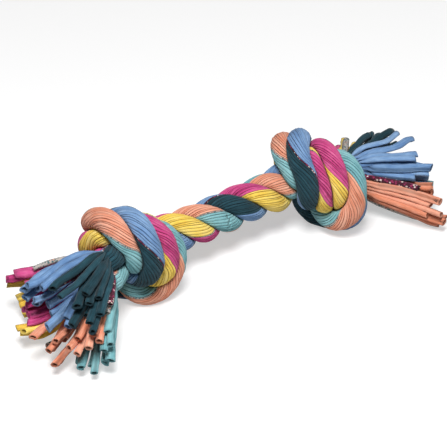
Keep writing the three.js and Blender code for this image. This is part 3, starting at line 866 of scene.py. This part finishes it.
def finish_cloth(nodes, colour):
    """The finish all cloth shares: painted shade in its creases, seams, hollows and where strands press
    together, matte, with a little sheen.
    """
    # Painted shade: the dye darkens towards a near black in creases, seams, hollows and where strands press
    # together
    shade = nodes.times(nodes.attribute("painted_shade"), CREASE_SHADE)
    nodes.put(nodes.shader.inputs["Base Color"], nodes.blend(shade, colour, PAINTED_SHADE_COLOUR))
    nodes.shader.inputs["Roughness"].default_value = 0.92
    nodes.shader.inputs["Specular IOR Level"].default_value = 0.25
    nodes.shader.inputs["Sheen Weight"].default_value = 0.08
    nodes.shader.inputs["Sheen Roughness"].default_value = 0.5
    jersey_bump(nodes)


def jersey(name, usual, deep, pale):
    """Cotton jersey: matte, softly fuzzy, its dye a little uneven from strip to strip."""
    material, nodes = new_material(name)
    tone = nodes.math("MULTIPLY_ADD", nodes.attribute("tone"), TONE_SPREAD, USUAL_PLACE)
    cloud = nodes.about_zero(nodes.noise(nodes.place(), CLOUD_SCALE, NOISE_DETAIL), CLOUD_SPREAD)
    streak = nodes.about_zero(streaks(nodes), STREAK_SPREAD)
    shade = nodes.math("ADD", nodes.math("ADD", tone, cloud), streak)
    ramp = nodes.add("ShaderNodeValToRGB", {"Fac": shade})
    shades = ramp.color_ramp.elements
    shades[0].position = DEEP_PLACE
    shades[0].color = linear(deep)
    shades[1].position = PALE_PLACE
    shades[1].color = linear(pale)
    shades.new(USUAL_PLACE).color = linear(usual)
    finish_cloth(nodes, ramp.outputs[0])
    return material


def printed_jersey(name):
    """Jersey with a small scattered flower print, on a pale grey or a dark red ground."""
    material, nodes = new_material(name)
    place = nodes.place()
    ragged = nodes.noise(nodes.place(), RAGGED_SCALE, NOISE_DETAIL)
    dark = nodes.math("GREATER_THAN", nodes.attribute("tone"), 0.0)

    def scattered(scale):
        return nodes.add("ShaderNodeTexVoronoi", {"Vector": place, "Scale": scale}).outputs["Distance"]

    def within(distance, size, share):
        return nodes.math("LESS_THAN", nodes.math("ADD", distance, nodes.times(ragged, share)), size)

    def on_ground(colours):
        return nodes.blend(dark, *map(linear, colours))

    petals = scattered(FLOWER_SCALE)
    leaf = within(scattered(LEAF_SCALE), LEAF_SIZE, LEAF_RAGGED)
    flower = within(petals, FLOWER_SIZE, FLOWER_RAGGED)
    heart = nodes.math("LESS_THAN", petals, HEART_SIZE)
    cloth = nodes.blend(leaf, on_ground(PRINT_GROUNDS), on_ground(PRINT_LEAVES))
    cloth = nodes.blend(flower, cloth, on_ground(PRINT_FLOWERS))
    cloth = nodes.blend(heart, cloth, linear(PRINT_HEART))
    finish_cloth(nodes, cloth)
    return material


MATERIALS = {name: jersey(f"jersey_{name}", *shades) for name, shades in DYES.items()}
MATERIALS["print"] = printed_jersey("jersey_print")


# The rolls of cloth in the cut ends: sizes in metres, and shares of the roll's radius and depth
ROLL_SIZES = {"Turns": 1.6, "Roll Radius": 0.0012, "Cloth Thickness": 0.0003, "Roll Depth": 0.0042}
ROLL_STEPS = 11
ROLL_CORE = 0.3
ROLL_RISE = 0.55


def rolled_ends():
    """Geometry nodes that set a roll of cloth into the hollow of every cut end."""
    tree = bpy.data.node_groups.new("rolled_ends", "GeometryNodeTree")
    tree.interface.new_socket("Geometry", in_out="INPUT", socket_type="NodeSocketGeometry")
    for label, size in ROLL_SIZES.items():
        tree.interface.new_socket(label, in_out="INPUT", socket_type="NodeSocketFloat").default_value = size
    tree.interface.new_socket("Cloth", in_out="INPUT", socket_type="NodeSocketMaterial")
    tree.interface.new_socket("Geometry", in_out="OUTPUT", socket_type="NodeSocketGeometry")
    nodes = Nodes(tree)

    def first(kind, inputs=None, **settings):
        return nodes.add(kind, inputs, **settings).outputs[0]

    given = nodes.add("NodeGroupInput").outputs
    normal = {"Geometry": given["Geometry"], "Name": "heading", "Value": first("GeometryNodeInputNormal")}
    headed = first("GeometryNodeStoreNamedAttribute", normal, data_type="FLOAT_VECTOR", domain="FACE")
    cut = first("GeometryNodeInputNamedAttribute", {"Name": "cut_end"}, data_type="BOOLEAN")
    heading = first("GeometryNodeInputNamedAttribute", {"Name": "heading"}, data_type="FLOAT_VECTOR")
    ends = first("GeometryNodeMeshToPoints", {"Mesh": headed, "Selection": cut}, mode="FACES")
    core = nodes.times(given["Roll Radius"], ROLL_CORE)
    spiral = {"Resolution": ROLL_STEPS, "Rotations": given["Turns"], "Start Radius": core, "Height": 0.0}
    spiral = first("GeometryNodeCurveSpiral", spiral | {"End Radius": given["Roll Radius"]})
    spiral = first("GeometryNodeSetCurveNormal", {"Curve": spiral}, mode="Z_UP")
    section = {"Width": given["Cloth Thickness"], "Height": given["Roll Depth"]}
    section = first("GeometryNodeCurvePrimitiveQuadrilateral", section)
    roll = first("GeometryNodeCurveToMesh", {"Curve": spiral, "Profile Curve": section, "Fill Caps": True})
    rise = first("ShaderNodeCombineXYZ", {"Z": nodes.times(given["Roll Depth"], ROLL_RISE)})
    roll = first("GeometryNodeTransform", {"Geometry": roll, "Translation": rise})
    facing = first("FunctionNodeAlignRotationToVector", {"Vector": heading}, axis="Z")
    rolls = first("GeometryNodeInstanceOnPoints", {"Points": ends, "Instance": roll, "Rotation": facing})
    joined = nodes.add("GeometryNodeJoinGeometry", {"Geometry": rolls})
    nodes.put(joined.inputs["Geometry"], given["Geometry"])
    real = first("GeometryNodeRealizeInstances", {"Geometry": joined.outputs[0]})
    dyed = first("GeometryNodeSetMaterial", {"Geometry": real, "Material": given["Cloth"]})
    nodes.add("NodeGroupOutput", {"Geometry": dyed})
    return tree


def roll_ends(piece, tree, material):
    """Gives the cut ends of a piece their rolls and leaves it a plain mesh."""
    modifier = piece.modifiers.new("rolled_ends", "NODES")
    modifier.node_group = tree
    cloth = next(item for item in tree.interface.items_tree if item.name == "Cloth")
    modifier[cloth.identifier] = material
    mesh = bpy.data.meshes.new_from_object(piece.evaluated_get(bpy.context.evaluated_depsgraph_get()))
    piece.modifiers.clear()
    piece.data = mesh


# The toy


def add_rope_half(name, side, strips, middle_x):
    """Half of the middle rope and its knot, one piece for each colour."""
    halves = {}
    for strip in strips:
        cut = np.argmax(strip["rings"][:, :, 0].mean(axis=1) > middle_x)
        run = slice(0, cut + 1) if side < 0 else slice(cut, None)
        half = strip | {key: strip[key][run] for key in ("rings", "along", "painted_shade")}
        halves.setdefault(strip["colour"], []).append(half)
    for colour, tubes in halves.items():
        piece = build(f"{name}_rope_{colour}", tubes, MATERIALS[colour])
        if colour != "print":
            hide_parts(f"{name}_knot_{colour}", f"mid_{colour}")
        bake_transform(piece)


def add_tassel(name, side, strips, lines, rolls):
    """A tassel, one piece for each colour and each strand's prints."""
    pieces = {}
    for (colour, strand), tubes in loose_strips(name, side, strips, lines).items():
        label = f"print_{strand + 1}" if colour == "print" else colour
        pieces.setdefault((label, colour), []).extend(tubes)
    for (label, colour), tubes in pieces.items():
        piece = build(f"{name}_strips_{label}", tubes, MATERIALS[colour])
        roll_ends(piece, rolls, MATERIALS[colour])
        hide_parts(f"{name}_tassel_{label}")
        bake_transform(piece)


def add_toy():
    """The strips from mouth to mouth, and the halves of the rope and the tassels that are made of them."""
    chains = lay_on_floor([cut_tails(chain) for chain in lay_strands(rope_axis())])
    middle_x = np.mean([(chain[0, 0] + chain[-1, 0]) / 2 for chain in chains])
    lines = [refine(chain) for chain in chains]
    strips = []
    for k, chain in enumerate(chains):
        middle = FINE_STEPS * np.argmax(chain[:, 0] > middle_x)
        strips += strand_strips(k, lines, middle)
    rolls = rolled_ends()
    for name, side in (("left", -1), ("right", 1)):
        add_rope_half(name, side, strips, middle_x)
        add_tassel(name, side, strips, lines, rolls)


# Floor, light and camera, in metres and degrees
FLOOR_REACH = 6
FLOOR_GREY = 0.6
FLOOR_GLOW = 0.48
WORLD_STRENGTH = 0.07
CAMERA_AZIMUTH = -38
CAMERA_ELEVATION = 31
CAMERA_DISTANCE = 1.6
SENSOR_WIDTH = 36  # millimetres
# The middle of the rope, the pixel where the photograph has it, and the photograph's size and scale there
ROPE_MIDDLE = (0.0071, 0.0280, 0.0343)
ROPE_PIXEL = (215, 215)
FRAME_PIXELS = 447
PIXELS_PER_METRE = 1400


def add_floor():
    """A pale floor that is seen as white and keeps the toy's shadow."""
    mesh = bpy.data.meshes.new("floor")
    corners = ((-1, -1), (1, -1), (1, 1), (-1, 1))
    mesh.from_pydata([(x * FLOOR_REACH, y * FLOOR_REACH, 0) for x, y in corners], [], [(0, 1, 2, 3)])
    floor = bpy.data.objects.new("floor", mesh)
    bpy.context.scene.collection.objects.link(floor)
    material, nodes = new_material("pale_floor")
    nodes.shader.inputs["Base Color"].default_value = (FLOOR_GREY, FLOOR_GREY, FLOOR_GREY, 1)
    nodes.shader.inputs["Roughness"].default_value = 0.9
    nodes.shader.inputs["Emission Color"].default_value = (1, 1, 1, 1)
    rays = nodes.add("ShaderNodeLightPath").outputs
    seen = nodes.math("MAXIMUM", rays["Is Glossy Ray"], rays["Is Transmission Ray"])
    seen = nodes.math("MAXIMUM", rays["Is Camera Ray"], seen)
    nodes.put(nodes.shader.inputs["Emission Strength"], nodes.times(seen, FLOOR_GLOW))
    mesh.materials.append(material)


def add_lamp(name, place, size, power):
    """A round soft lamp that points at the origin, on the floor under the toy."""
    light = bpy.data.lights.new(name, "AREA")
    light.shape = "DISK"
    light.size = size
    light.energy = power
    lamp = bpy.data.objects.new(name, light)
    lamp.location = place
    lamp.rotation_euler = (-Vector(place)).to_track_quat("-Z", "Y").to_euler()
    bpy.context.scene.collection.objects.link(lamp)


def add_world():
    world = bpy.data.worlds.new("studio")
    world.use_nodes = True
    background = world.node_tree.nodes["Background"]
    background.inputs["Color"].default_value = (1, 1, 1, 1)
    background.inputs["Strength"].default_value = WORLD_STRENGTH
    bpy.context.scene.world = world


def add_camera():
    """The photograph's viewing angle, with the middle of the rope where the photograph has it."""
    azimuth, elevation = np.radians(CAMERA_AZIMUTH), np.radians(CAMERA_ELEVATION)
    level = np.cos(elevation)
    back = Vector((np.sin(azimuth) * level, -np.cos(azimuth) * level, np.sin(elevation)))
    right = Vector((0, 0, 1)).cross(back).normalized()
    up = back.cross(right)
    aside = (ROPE_PIXEL[0] - FRAME_PIXELS / 2) / PIXELS_PER_METRE
    above = (FRAME_PIXELS / 2 - ROPE_PIXEL[1]) / PIXELS_PER_METRE
    target = Vector(ROPE_MIDDLE) - right * aside - up * above
    data = bpy.data.cameras.new("camera")
    data.sensor_width = SENSOR_WIDTH
    data.lens = PIXELS_PER_METRE * CAMERA_DISTANCE * SENSOR_WIDTH / FRAME_PIXELS
    camera = bpy.data.objects.new("camera", data)
    turn = Matrix((right, up, back)).transposed().to_4x4()
    camera.matrix_world = Matrix.Translation(target + back * CAMERA_DISTANCE) @ turn
    bpy.context.scene.collection.objects.link(camera)
    bpy.context.scene.camera = camera


add_toy()
add_floor()
add_lamp("key", place=(-0.55, -0.6, 1.4), size=0.6, power=31)
add_lamp("fill", place=(1.0, -0.8, 0.9), size=1.2, power=3)
add_world()
add_camera()
bpy.context.scene.view_settings.view_transform = "Standard"
